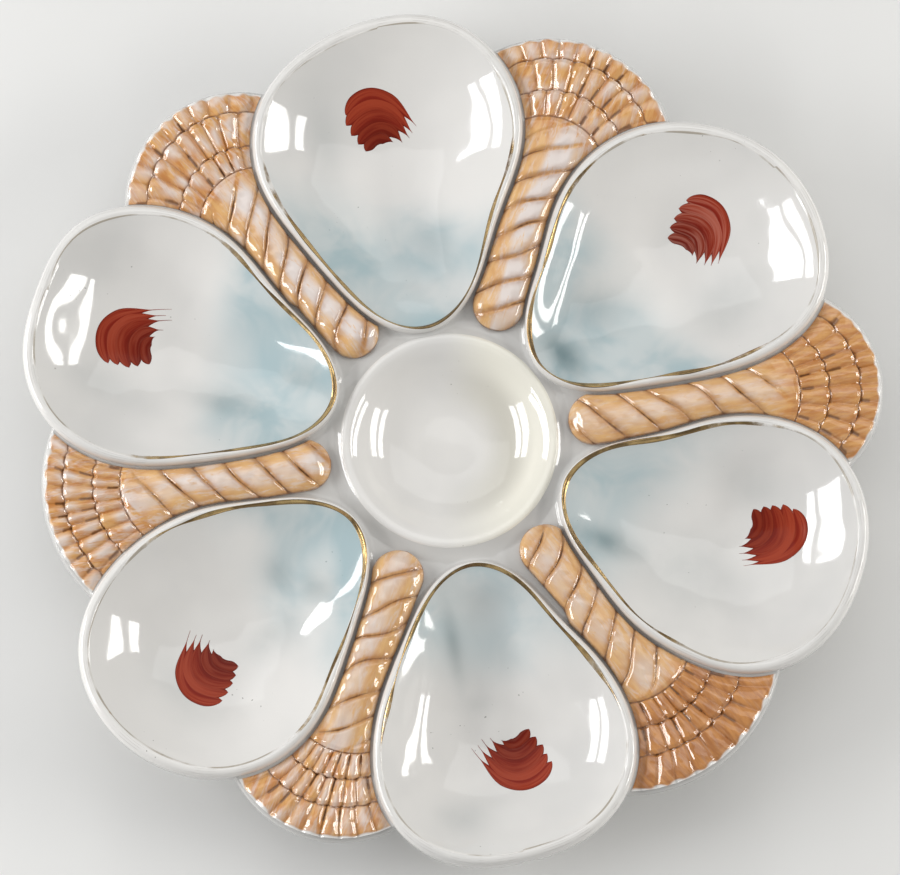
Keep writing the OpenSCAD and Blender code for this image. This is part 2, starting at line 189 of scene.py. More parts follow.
def make_piece(name, points, faces, node, material, attributes, sharp):
    mesh = bpy.data.meshes.new(name)
    mesh.from_pydata((np.asarray(points) * MM).tolist(), [], [list(map(int, f)) for f in faces])
    mesh.validate()
    for key, values in attributes.items():
        layer = mesh.attributes.new(key, "FLOAT", "POINT")
        layer.data.foreach_set("value", np.asarray(values, dtype=np.float32).ravel())
    mesh.materials.append(material)
    mesh.shade_smooth()
    mesh.set_sharp_from_angle(angle=math.radians(sharp))
    piece = add_object(name, mesh)
    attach(piece, "root")
    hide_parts(node)


class Shells:
    """Gathers closed shells of points, faces and per-point values for one piece."""

    def __init__(self):
        self.points, self.faces, self.values, self.count = [], [], {}, 0

    def add(self, points, faces, **values):
        flat = np.asarray(points).reshape(-1, 3)
        self.points.append(flat)
        self.faces.extend((np.asarray(f) + self.count).tolist() for f in faces)
        for key, value in values.items():
            self.values.setdefault(key, []).append(value)
        self.count += len(flat)

    def piece(self, name, node, slot, material, sharp):
        attributes = {key: np.concatenate(value) for key, value in self.values.items()}
        make_piece(name, np.concatenate(self.points), self.faces, node, material, attributes, sharp)


# Shape of a well

def smooth_share(shares, degrees):
    t = np.asarray(shares)
    control = t + SPLINE_SHARE * (2 * t - np.roll(t, 1) - np.roll(t, -1))
    x = (np.asarray(degrees) % 360) / OUTLINE_STEP_ANGLE
    i = np.floor(x).astype(int)
    f = x - i
    n = len(t)
    return ((1 - f) ** 3 * control[(i - 1) % n] + (3 * f ** 3 - 6 * f * f + 4) * control[i % n]
            + (1 + 3 * f + 3 * f * f - 3 * f ** 3) * control[(i + 1) % n]
            + f ** 3 * control[(i + 2) % n]) / 6


def well_r(k, degrees):
    return WELL_LEN * smooth_share(OUTLINE_SHARES[k], degrees)


def lip_w_at(degrees):
    return LIP_W * (TIP_LIP_SHARE + (1 - TIP_LIP_SHARE) * np.abs(np.cos(np.radians(degrees) / 2)))


def rim_z(k, x, y):
    out = toward(heading(k))
    return TIP_Z + (PLATE_H - TIP_Z) * (x * out[0] + y * out[1] - TIP_R) / WELL_LEN


def seat_z(x, y):
    return GROUND_H - GROUND_T - SEAT + ARM_SLOPE * (np.hypot(x, y) - ARM_START)


def in_well(k, x, y):
    """Place inwards and to the left of a well's middle, as shares of its length."""
    centre, axis, left = well_centre(k), toward(heading(k)), toward(heading(k) + 90)
    dx, dy = x - centre[0], y - centre[1]
    return -(dx * axis[0] + dy * axis[1]) / WELL_LEN, (dx * left[0] + dy * left[1]) / WELL_LEN


# The bowls' ripples, from long to short: height, seed and length, and the shares of the bowl's radius
# over which each one comes up and from which it fades
RIPPLES = ((0.26, 40, 32, 0.20, 0.72), (0.07, 60, 19, 0.45, 0.78), (0.022, 50, 9, 0, 0.80))
# Two wells have one wall that bends harder where it rises from the floor. For each one the middle of
# the bend: degrees round the well, and share of the bowl's radius
BENDS = {0: (140.0, 0.80), 4: (245.0, 0.73)}
BEND_DEPTH = 1.1
BEND_HALF_ANGLE = 42.0
BEND_HALF_SHARE = 0.19
BEND_FADE_SHARE = 0.80
SEAT_BLEND = 1.2
LIP_POWER = 2.2


def bowl_z(k, x, y, q):
    edge = rim_z(k, x, y) - INNER_DROP_SHARE * LIP_ROUND
    ripple = 0
    for height, seed, length, full, fade in RIPPLES:
        level = ramp(q / full) if full else 1
        ripple = ripple + height * waves(x, y, seed + k, length) * level * fading(q, fade)
    if k in BENDS:
        angle, place = BENDS[k]
        inward, side = in_well(k, x, y)
        away = (np.degrees(np.arctan2(side, -inward)) - angle + 180) % 360 - 180
        bend = bump_at(away, 0, BEND_HALF_ANGLE) * bump_at(q, place, BEND_HALF_SHARE)
        ripple = ripple - BEND_DEPTH * bend * fading(q, BEND_FADE_SHARE)
    return FLOOR_H + (edge - FLOOR_H) * q ** BOWL_POWER + ripple


def soft_min(a, b, width):
    h = np.clip(0.5 + 0.5 * (b - a) / width, 0, 1)
    return b * (1 - h) + a * h - width * h * (1 - h)


def under_z(k, x, y, q):
    deep = FLOOR_H + (rim_z(k, x, y) - INNER_DROP_SHARE * LIP_ROUND - FLOOR_H) * q ** BOWL_POWER
    return soft_min(seat_z(x, y), deep - WALL_T * (1 + THICKER_SHARE * q), SEAT_BLEND)


def lip_drop(share, bowl_slope, width):
    """How far the lip lies under its crest: round outside the crest, easing into the bowl inside it."""
    outside = 1 - np.clip(share / CREST_SHARE, 0, 1)
    u = np.clip((share - CREST_SHARE) / (1 - CREST_SHARE), 0, 1)
    end = INNER_DROP_SHARE * LIP_ROUND
    run = bowl_slope * width * (1 - CREST_SHARE)
    inside = end * (3 * u ** 2 - 2 * u ** 3) + run * (u ** 3 - u ** 2)
    round_side = LIP_ROUND * (1 - np.sqrt(np.maximum(0, 1 - outside ** LIP_POWER)))
    return np.where(share < CREST_SHARE, round_side, inside)


def well_height(k, degrees, r):
    """Height of a well's upper face at a distance r from its centre."""
    out = toward(heading(k) + degrees)
    centre = well_centre(k)
    x, y = centre[0] + r * out[..., 0], centre[1] + r * out[..., 1]
    width = lip_w_at(degrees)
    bowl_r = well_r(k, degrees) - width
    rise = rim_z(k, x, y) - INNER_DROP_SHARE * LIP_ROUND - FLOOR_H
    slope = BOWL_POWER * rise / bowl_r
    share = np.clip((well_r(k, degrees) - r) / width, 0, 1)
    lip = rim_z(k, x, y) - lip_drop(share, slope, width)
    return x, y, np.where(r < bowl_r, bowl_z(k, x, y, np.minimum(r / bowl_r, 1)), lip)


SECTORS = 288
UNDER_RINGS = 26
CORNER_RINGS = 6
CORNER_R = 1.7
WALL_RINGS = 4
LIP_RINGS = 22
BOWL_RINGS = 64
FIRST_RING_SHARE = 0.03
# Above 1 the rings lie closer together at the lip's outer side and at the bowl's rim
LIP_SPACING = 1.6
BOWL_SPACING = 1.25
# Where the blue wash starts on the way from a well's middle to its tip, how it leans sideways and
# how strong it is
TINT_START = (0.06, 0.06, 0.05, 0.08, 0.10, 0.12)
TINT_SHIFTS = (0.0, 0.35, -0.20, 0.10, 0.10, 0.30)
TINT_SHARES = (1.8, 1.15, 1.6, 1.3, 1.0, 0.95)
TINT_RUN = 0.30
# Soft grey patches of painted shade and painted dark reflection in each well: place inwards and to
# the left of the middle, half sizes that way, all as shares of a well's length, and strength
PAINTED_SHADE_PATCHES = (
    ((0.475, -0.02, 0.05, 0.085, 1.0), (0.29, 0.04, 0.10, 0.08, 0.45), (-0.03, -0.22, 0.15, 0.10, 0.4)),
    ((0.30, -0.06, 0.10, 0.06, 0.35), (-0.10, 0.22, 0.14, 0.06, 0.3)),
    ((0.20, 0.12, 0.11, 0.045, 0.6), (0.42, -0.03, 0.05, 0.04, 0.4), (-0.15, 0.20, 0.12, 0.06, 0.3)),
    ((0.24, -0.03, 0.05, 0.08, 0.4), (0.31, 0.09, 0.05, 0.06, 0.5), (0.10, 0.11, 0.10, 0.06, 0.5),
     (-0.22, 0.05, 0.06, 0.12, 0.3)),
    ((0.28, -0.10, 0.14, 0.025, 0.65), (0.10, -0.065, 0.04, 0.06, 0.25), (0.42, 0.02, 0.06, 0.10, 0.35),
     (-0.25, -0.16, 0.06, 0.08, 0.35)),
    ((0.33, -0.13, 0.12, 0.04, 0.8), (0.0, 0.2, 0.12, 0.07, 0.3), (0.08, -0.13, 0.15, 0.12, 0.45)),
)


def build_well(k, material):
    degrees = np.arange(SECTORS) * 360 / SECTORS
    outer = well_r(k, degrees)
    width = lip_w_at(degrees)
    bowl_r = outer - width
    out = toward(heading(k) + degrees)
    centre = well_centre(k)
    rows, lips = [], []

    def spots(r):
        return centre[0] + r * out[:, 0], centre[1] + r * out[:, 1]

    def add_ring(r, z, lip):
        rows.append(stack_xyz(*spots(r), z))
        lips.append(np.full(SECTORS, lip))

    flat_r = outer - CORNER_R
    for s in np.linspace(FIRST_RING_SHARE, 1, UNDER_RINGS):
        r = s * flat_r
        add_ring(r, under_z(k, *spots(r), r / bowl_r), -1)
    corner_z = rows[-1][:, 2]
    for turn in np.linspace(0, math.pi / 2, CORNER_RINGS + 1)[1:]:
        add_ring(flat_r + CORNER_R * math.sin(turn), corner_z + CORNER_R * (1 - math.cos(turn)), -1)
    wall_low = rows[-1][:, 2]
    wall_high = rim_z(k, *spots(outer)) - LIP_ROUND
    for s in np.linspace(0, 1, WALL_RINGS + 1)[1:]:
        add_ring(outer, wall_low + s * (wall_high - wall_low), 0)
    for s in np.linspace(0, 1, LIP_RINGS + 1)[1:]:
        share = s ** LIP_SPACING
        r = outer - share * width
        add_ring(r, well_height(k, degrees, r)[2], share)
    for s in np.linspace(0, 1, BOWL_RINGS + 1)[1:-1]:
        q = 1 - s ** BOWL_SPACING
        add_ring(q * bowl_r, well_height(k, degrees, q * bowl_r)[2], 1 + s)
    points = np.concatenate(rows)
    n = len(rows)
    low_z = float(under_z(k, centre[0], centre[1], 0.0))
    high_z = well_height(k, np.array([0.0]), np.array([0.0]))[2][0]
    points = np.concatenate([points, [[*centre, low_z], [*centre, high_z]]])
    faces = grid_faces(n, SECTORS, wrap_columns=True).tolist()
    low, high, last = n * SECTORS, n * SECTORS + 1, (n - 1) * SECTORS
    i = np.arange(SECTORS)
    j = (i + 1) % SECTORS
    faces += np.stack([np.full(SECTORS, low), j, i], axis=-1).tolist()
    faces += np.stack([np.full(SECTORS, high), last + i, last + j], axis=-1).tolist()
    lip = np.concatenate(lips + [[-1.0, 2.0]])
    x, y = points[:, 0], points[:, 1]
    inward, side = in_well(k, x, y)
    tint = ramp((inward + TINT_SHIFTS[k] * side - TINT_START[k]) / TINT_RUN)
    wobble = waves(x, y, 70 + k, 26)
    tint = np.clip(tint * TINT_SHARES[k] * (0.78 + 0.25 * wobble), 0, 1) * (lip > 0.9)
    # Painted shade: soft grey patches on the bowl, strongest where each patch is centred
    painted_shade = np.zeros(len(points))
    for place_in, place_side, half_in, half_side, strength in PAINTED_SHADE_PATCHES[k]:
        away = ((inward - place_in) / half_in) ** 2 + ((side - place_side) / half_side) ** 2
        painted_shade = np.maximum(painted_shade, strength * np.exp(-away))
    make_piece(f"well_{k + 1}", points, faces, f"oyster_well_{k + 1}", material,
               {"tint": tint, "painted_shade": painted_shade * (lip > 0.9), "lip": lip}, sharp=70)


# Gilt lines along the rims

GILT_COLUMNS = 9
GILT_LIFT = 0.10
GILT_SINK = 0.12
GILT_SINK_SHARE = 0.7
GILT_MIDDLE_SHARE = 0.80
GILT_HALF_W = 0.23
GILT_WIDER_W = 0.27
GILT_LEAST_W = 0.13


def build_gilding(k, material):
    degrees = np.arange(SECTORS * 2) * 360 / (SECTORS * 2)
    inner_side = (1 - np.cos(np.radians(degrees))) / 2
    outer = well_r(k, degrees)
    width = lip_w_at(degrees)
    wander = waves(degrees, 0 * degrees, 90 + k, 47)
    middle = outer - width * (GILT_MIDDLE_SHARE - 0.05 * wander)
    half = (GILT_HALF_W + GILT_WIDER_W * inner_side) * (1 + 0.30 * waves(degrees, 0 * degrees, 97 + k, 33))
    half = np.maximum(half, GILT_LEAST_W)
    section = [(c, GILT_LIFT * (1 - abs(c) ** 3)) for c in np.linspace(-1, 1, GILT_COLUMNS)]
    section += [(GILT_SINK_SHARE, -GILT_SINK), (-GILT_SINK_SHARE, -GILT_SINK)]
    rings, across = [], []
    for c, lift in section:
        x, y, z = well_height(k, degrees, middle + c * half)
        rings.append(stack_xyz(x, y, z + lift))
        across.append(np.full(len(degrees), c))
    points = np.concatenate(rings)
    faces = grid_faces(len(rings), len(degrees), wrap_columns=True, wrap_rows=True)[:, ::-1]
    wear = np.tile(1 - inner_side, len(rings))
    make_piece(f"gilding_{k + 1}", points, faces, f"gilt_line_{k + 1}", material,
               {"wear": wear, "across": np.concatenate(across)}, sharp=80)


# Painted marks

STROKES = 5
STROKE_STEPS = 52
STROKE_COLUMNS = 13
MARK_OUT_SHARES = (0.125, 0.14, 0.14, 0.125, 0.095, 0.125)
MARK_SIDE_SHARES = (0.01, 0.04, 0.02, 0.06, 0.03, 0.07)
# Head, top and tail of the brush strokes from the outermost one inwards, as shares of the mark's
# width and length, and half the width of each stroke as a share of the mark's length
HEAD_SHARES = ((-0.50, 0.15), (-0.48, -0.03), (-0.43, -0.19), (-0.36, -0.34), (-0.27, -0.48))
TOP_SHARES = ((0.00, 0.42), (0.02, 0.24), (0.02, 0.07), (0.00, -0.11), (-0.05, -0.29))
TAIL_SHARES = ((0.50, -0.13), (0.46, -0.26), (0.39, -0.33), (0.29, -0.41), (0.16, -0.38))
STROKE_HALF_SHARES = (0.125, 0.14, 0.14, 0.13, 0.10)
# How far each mark's tails run on as whiskers, how much of that each stroke has, and how far the
# mark leans, in degrees
WHISKER_SHARES = (0.02, 0.03, 0.14, 0.08, 0.10, 0.05)
WHISKER_STROKE_SHARES = (1.0, 0.55, 0.8, 0.45, 0.2)
MARK_LEANS = (2.0, -2.0, -4.0, 4.0, -1.0, -4.0)
# How thinly each mark is brushed
MARK_SOFTNESS = (0.6, 0.0, 0.08, 0.08, 0.06, 0.0)
# Height of a stroke, how much higher each next one lies, how far its edge lies over the glaze and
# how far its underside lies in it
STROKE_H = 0.035
STROKE_STEP_H = 0.016
STROKE_EDGE_H = 0.012
STROKE_SINK = 0.06


def build_mark(k, material):
    shells = Shells()
    out, side = toward(heading(k)), toward(heading(k) - 90)
    place = WELL_LEN * (MARK_OUT_SHARES[k] * out + MARK_SIDE_SHARES[k] * toward(heading(k) + 90))
    rng = np.random.default_rng(500 + k)
    lean = math.radians(MARK_LEANS[k])
    turn = np.array([[math.cos(lean), math.sin(lean)], [-math.sin(lean), math.cos(lean)]])
    across = np.linspace(-1, 1, STROKE_COLUMNS)
    for n in range(STROKES):
        whisker = WHISKER_SHARES[k] * WHISKER_STROKE_SHARES[n]
        u = np.linspace(0, 1 + whisker, STROKE_STEPS)
        # Each stroke lies over the one outside it
        head, top, tail = ((np.array(shares[n]) + rng.uniform(-0.018, 0.018, 2)) * (MARK_W, MARK_L)
                           for shares in (HEAD_SHARES, TOP_SHARES, TAIL_SHARES))
        bow = 2 * top - (head + tail) / 2
        w = u[:, None]
        x, y = (((1 - w) ** 2 * head + 2 * w * (1 - w) * bow + w ** 2 * tail) @ turn).T
        dx, dy = np.gradient(x), np.gradient(y)
        length = np.hypot(dx, dy)
        nx, ny = -dy / length, dx / length
        round_head = (1 - (1 - np.clip(u / 0.20, 0.002, 1)) ** 2) ** 0.7
        taper = (1 - ramp(u, 0.68, 0.34)) ** 0.8
        thin = 0.02 + 0.11 * (1 + whisker - u) / (0.4 + whisker)
        half = MARK_L * STROKE_HALF_SHARES[n] * np.minimum(round_head, np.maximum(taper, thin))
        lift = STROKE_H + STROKE_STEP_H * n
        tops, lows = [], []
        for c in across:
            px, py = x + nx * half * c, y + ny * half * c
            local = place + px[:, None] * side + py[:, None] * out
            degrees = np.degrees(np.arctan2(local[:, 1], local[:, 0])) - heading(k)
            wx, wy, wz = well_height(k, degrees, np.hypot(local[:, 0], local[:, 1]))
            tops.append(stack_xyz(wx, wy, wz + STROKE_EDGE_H + lift * (1 - abs(c) ** 5)))
            lows.append(stack_xyz(wx, wy, wz - STROKE_SINK))
        points = sheet_points(np.stack(tops, axis=1), np.stack(lows, axis=1))
        shells.add(points, sheet_faces(STROKE_STEPS, STROKE_COLUMNS),
                   across=np.tile(np.tile(across, STROKE_STEPS), 2),
                   along=np.tile(np.repeat(u, STROKE_COLUMNS), 2),
                   tone=np.full(len(points), (n + 0.5) / STROKES),
                   soft=np.full(len(points), MARK_SOFTNESS[k]))
    shells.piece(f"mark_{k + 1}", f"red_mark_{k + 1}", "red_enamel", material, sharp=80)


# Sauce well, turned

LATHE_SECTORS = 320
# Its underside, as shares of the radius and of the height up to the ground's underside, and its
# rim and bowl, as shares of the radius and of the rim's height over the floor
SAUCE_UNDER_SHARES = ((0.02, 0.0), (0.25, 0.0), (0.40, 0.0), (0.50, 0.07), (0.58, 0.22), (0.66, 0.44),
                      (0.75, 0.72), (0.83, 0.93), (0.92, 1.0), (1.0, 1.0))
SAUCE_TOP_SHARES = ((1.0, 0.940), (0.985, 0.978), (0.963, 1.0), (0.940, 0.992), (0.910, 0.955),
                    (0.870, 0.870), (0.825, 0.755), (0.745, 0.530), (0.662, 0.330), (0.579, 0.180),
                    (0.497, 0.085), (0.414, 0.032), (0.31, 0.006), (0.19, 0.0), (0.02, 0.0))
COLLAR_W = 4.2
COLLAR_RISE = 1.46


def smooth_curve(points, count):
    """A Catmull-Rom curve through points, with count steps between neighbours."""
    p = np.asarray(points, dtype=float)
    p = np.concatenate([[2 * p[0] - p[1]], p, [2 * p[-1] - p[-2]]])
    t = np.linspace(0, 1, count, endpoint=False)[:, None]
    spans = []
    for a, b, c, d in zip(p, p[1:], p[2:], p[3:]):
        spans.append(0.5 * (2 * b + (c - a) * t + (2 * a - 5 * b + 4 * c - d) * t ** 2
                            + (3 * b - a - 3 * c + d) * t ** 3))
    return np.concatenate(spans + [p[-2:-1]])


def build_sauce_well(material):
    low_z = SAUCE_FLOOR_H - WALL_T
    seat_low = GROUND_H - GROUND_T - SEAT
    depth = GROUND_H + SAUCE_LIP - SAUCE_FLOOR_H
    under = smooth_curve([(s * SAUCE_R, low_z + h * (seat_low - low_z)) for s, h in SAUCE_UNDER_SHARES], 6)
    top = smooth_curve([(s * SAUCE_R, SAUCE_FLOOR_H + h * depth) for s, h in SAUCE_TOP_SHARES], 10)
    profile = np.concatenate([under, top])
    a = round_angles(LATHE_SECTORS)
    r, z = profile[:, 0][:, None], profile[:, 1][:, None]
    x, y = r * np.cos(a), r * np.sin(a)
    is_top = (np.arange(len(profile)) >= len(under))[:, None]
    z = z + is_top * 0.10 * waves(x, y, 21, 34) * ramp((SAUCE_R - r) / 6)
    points = stack_xyz(x, y, z).reshape(-1, 3)
    n = len(profile)
    faces = grid_faces(n, LATHE_SECTORS, wrap_columns=True).tolist()
    faces.append(list(range(LATHE_SECTORS))[::-1])
    faces.append(list(range((n - 1) * LATHE_SECTORS, n * LATHE_SECTORS)))
    x, y = points[:, 0], points[:, 1]
    from_middle = np.hypot(x, y) / SAUCE_R
    # Mask of the painted shade and painted light on the right half of the bowl
    painted_warm_side = ramp((x / SAUCE_R + 0.08 * waves(x, y, 8, 60) + 0.05) / 0.65) * ramp(from_middle, 0.22, 0.35)
    make_piece("sauce_bowl", points, faces, "sauce_well", material,
               {"painted_warm_side": painted_warm_side, "wall": ramp(from_middle, 0.60, 0.22)}, sharp=60)


# Ornaments

RELIEF_START = SAUCE_R + STEM_GAP
BEND_SHARE = 0.50
BENT_SHARE = 0.82
FIRST_ROW_SHARE = 0.4
FAN_START_SHARE = 0.7
FLARE_SHARE = 0.35
FLARE_FROM_SHARE = 0.26
EDGE_SHARE = 0.2
DOME_POWER = 2.15
# Where the inner bands of each fan end
BAND_SHARES = (
    (0.741, 0.835, 0.934),
    (0.735, 0.825, 0.931),
    (0.728, 0.809, 0.930),
    (0.735, 0.829, 0.932),
    (0.708, 0.798, 0.892),
    (0.702, 0.792, 0.888),
)
# Share of an ornament's pleats that each band has, from the inner one outwards
PLEAT_SHARES = (0.6, 0.70, 0.87, 1.0)
PLEAT_POWER = 1.5
# For each ornament: pleats across its fan, slope and spacing of its stem's grooves, how much of the
# lustre is wiped off its stem and its fan, and where across the stem
PLEATS = (8.6, 9.4, 8.8, 9.6, 9.2, 8.8)
GROOVE_SLOPES = (0.85, 0.67, 0.74, 0.61, 0.73, 0.62)
GROOVE_PITCH_SHARES = (1.15, 0.95, 0.93, 1.0, 1.08, 1.0)
STEM_PALE_SHARES = (0.5, 1.6, 1.2, 1.0, 0.75, 0.65)
FAN_PALE_SHARES = (0.0, 0.75, 0.95, 1.0, 0.75, -0.35)
CREST_SIDES = (0.05, 0.28, 0.20, 0.0, 0.20, 0.20)
GROOVE_W = 0.42
TURN_H = 0.75
PLEAT_H = 1.0
STEP_H = 0.62
RELIEF_GAP = 0.7
RELIEF_LEAST_H = 0.55
RELIEF_SINK = 0.15
HALVINGS = 14
RELIEF_ROWS = 430
RELIEF_COLUMNS = 121


def arm_reach(j):
    return REACH_SHARES[j] * PLATE_R


def fan_radius(j):
    return FAN_R_SHARES[j] * FAN_R


class Arm:
    """Rows across one arm of the ground: straight over the stem and bent into arcs over the fan."""

    def __init__(self, j, start, end, gap, t, stem_w=None):
        self.j = j
        self.along = start + t * (end - start)
        share = (self.along - RELIEF_START) / (arm_reach(j) - EDGE_W - RELIEF_START)
        self.bend = ramp(share, BEND_SHARE, BENT_SHARE - BEND_SHARE)
        first = FIRST_ROW_SHARE * FAN_R
        onwards = np.maximum(0, share - FAN_START_SHARE) / (1 - FAN_START_SHARE)
        self.row_r = first + onwards * (fan_radius(j) - EDGE_W - first)
        most = 0.97 * self.row_r / np.maximum(self.bend, 0.5)
        free = self.along * math.tan(math.radians(STEP_ANGLE / 2)) + 2
        if stem_w:
            v = self.along - RELIEF_START
            c = np.clip(2 * v / stem_w, 0.0, 1)
            free = stem_w / 2 * np.maximum(np.sqrt(1 - (1 - c) ** 2), 0.06)
            free = free + FLARE_SHARE * np.maximum(0, v - FLARE_FROM_SHARE * WELL_LEN)
        self.most = np.where(self.bend > 0, np.minimum(free, most), free)
        self.left = self.limit(-1, gap)
        self.right = self.limit(1, gap)

    def drop(self, x):
        r = self.row_r[:, None] if np.ndim(x) == 2 else self.row_r
        bend = self.bend[:, None] if np.ndim(x) == 2 else self.bend
        c = np.minimum(np.abs(x), r)
        return bend * (r - np.sqrt(r * r - c * c))

    def plan(self, x):
        along = self.along[:, None] if np.ndim(x) == 2 else self.along
        v = along - self.drop(x)
        out, side = toward(RELIEF_ANGLES[self.j]), toward(RELIEF_ANGLES[self.j] + 90)
        return v * out[0] - x * side[0], v * out[1] - x * side[1], v

    def limit(self, side, gap):
        lo, hi = np.zeros_like(self.most), self.most
        for _ in range(HALVINGS):
            m = (lo + hi) / 2
            px, py, _ = self.plan(side * m)
            clear = np.min([wall_distance(k, px, py) for k in (self.j, (self.j + 5) % 6)], axis=0) > gap
            lo, hi = np.where(clear, m, lo), np.where(clear, hi, m)
        return lo

    def grid(self, f):
        """x across the arm for every row and every f from -1 to 1."""
        return (self.right[:, None] - self.left[:, None] + f * (self.right + self.left)[:, None]) / 2


def well_polar(k, x, y):
    """Distance from a well's middle, and direction from there."""
    centre = well_centre(k)
    dx, dy = x - centre[0], y - centre[1]
    return np.hypot(dx, dy), np.degrees(np.arctan2(dy, dx)) - heading(k)


def wall_distance(k, x, y):
    r, degrees = well_polar(k, x, y)
    return r - well_r(k, degrees)


def arm_out(x, y):
    """Distance outwards along the nearest arm."""
    return np.max([x * toward(a)[0] + y * toward(a)[1] for a in RELIEF_ANGLES], axis=0)


def arm_plane(v):
    """Height of the arm's upper face at v along it, eased where the slope starts."""
    d = v - ARM_START
    return GROUND_H + ARM_SLOPE * np.where(d > 1, d, np.where(d < -1, 0, (d + 1) ** 2 / 4))


def steady_random(seed, rows, columns):
    """One steady random number for every pair of whole numbers."""
    table = np.random.default_rng(seed).uniform(0, 1, (8, 40))
    return table[np.clip(rows, 0, 7).astype(int), np.clip(columns, 0, 39).astype(int)]


def stem_pattern(j, along, ff, half, fan_share):
    """Grooves that wind round the stem, with low swellings between them."""
    bent = half * (0.7 * ff + 0.3 * np.arcsin(np.clip(ff, -0.999, 0.999)))
    pitch = GROOVE_PITCH * GROOVE_PITCH_SHARES[j]
    turn = (along - GROOVE_SLOPES[j] * bent) / pitch + 0.07 * waves(along, bent, 300 + j, 19) + 0.31 * j
    c = turn - np.floor(turn)
    near = np.minimum(c, 1 - c) * pitch / math.hypot(1, GROOVE_SLOPES[j])
    reach = ramp(along, 1.2, 3.5) * (1 - ramp(fan_share, 0.64, 0.08))
    depth = reach * np.clip(0.75 + 0.30 * waves(along, bent, 310 + j, 11), 0.3, 1.1)
    cut = np.exp(-(near / GROOVE_W) ** 2) * depth
    shoulder = ramp(c / 0.20) * (1 - 0.62 * ramp(c, 0.22, 0.78))
    swell = 1 - np.abs(2 * c - 1) ** 3.0
    return TURN_H * (shoulder - 0.75) * reach - 0.34 * cut, cut, swell, near


def fan_pattern(j, share, ff, length):
    """Bands of rounded pleats. Each band ends in a scalloped crest that drops to the next band."""
    shape = ff.shape
    band, inside, step, place = np.zeros((4, *shape))
    start = np.full(shape, 0.60)
    for n, end in enumerate(BAND_SHARES[j] + (1.0,)):
        lean = 0.16 * np.sin(2.2 * ff + 1.7 * n + j) + 0.05 * waves(share * 60, ff * 40, 340 + j, 30)
        across = (ff + 1) / 2 * PLEATS[j] * PLEAT_SHARES[n] + lean + 0.42 * n
        lobe = 1 - np.abs(2 * (across - np.floor(across)) - 1) ** 2
        stop = end + (0.006 * (lobe - 0.6) if 0 < n < 3 else 0)
        here = share >= start
        band, place = np.where(here, n, band), np.where(here, across, place)
        inside = np.where(here, np.clip((share - start) / (stop - start), 0, 1), inside)
        if n:
            step = np.maximum(step, np.exp(-((share - start) * length / 0.34 - 0.7) ** 2) * here)
        start = stop
    rise = STEP_H * (np.sin(inside * math.pi / 2) ** 0.8 - 0.65 - 0.85 * ramp(inside, 0.86, 0.14))
    rise = rise - 0.14 * band
    r = place - np.floor(place)
    gap = np.minimum(r, 1 - r)
    notch = np.exp(-(gap / 0.15) ** 2)
    vary = steady_random(700 + j, band, np.floor(place + 0.5))
    lift = steady_random(720 + j, band, np.floor(place))
    pleat = 1 - np.abs(2 * r - 1) ** PLEAT_POWER
    furrow = np.exp(-(gap / 0.085) ** 2)
    ribbed = ramp(share, BAND_SHARES[j][0], 0.012)
    z = PLEAT_H * (0.8 + 0.35 * lift) * (pleat - 0.70) - 0.20 * furrow * (0.4 + vary)
    slot = notch * ramp(vary, 0.40, 0.15) * ramp(inside, 0.04, 0.10)
    slot = slot * (1 - ramp(inside, 0.45, 0.20))
    return rise, ribbed * z, step, slot * ribbed, furrow * ribbed, pleat * ribbed


